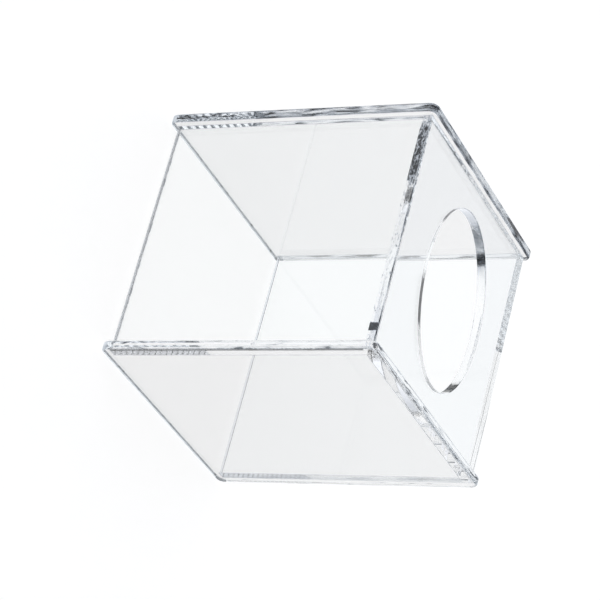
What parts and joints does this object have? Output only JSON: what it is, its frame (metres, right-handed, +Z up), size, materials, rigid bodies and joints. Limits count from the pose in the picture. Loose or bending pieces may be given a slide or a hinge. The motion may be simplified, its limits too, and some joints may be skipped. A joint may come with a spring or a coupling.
{
  "type": "tissue box cover",
  "caption": "Clear acrylic cover that drops over a cube box of tissues: open bottom, flat panels between proud side plates, and an oval opening in the top.",
  "frame": {"origin": "on the table, at the middle of the footprint of the two side plates", "axes": "+X to the cover's right, +Y to its back, +Z up"},
  "size_m": [0.13, 0.13, 0.14],
  "materials": {
    "clear_acrylic": "clear cast acrylic sheet, polished faces and hand-polished cut edges"
  },
  "bodies": {
    "root": {"left_side_plate": "clear_acrylic", "right_side_plate": "clear_acrylic", "front_panel": "clear_acrylic", "back_panel": "clear_acrylic", "top_panel": "clear_acrylic"}
  },
  "joints": []
}
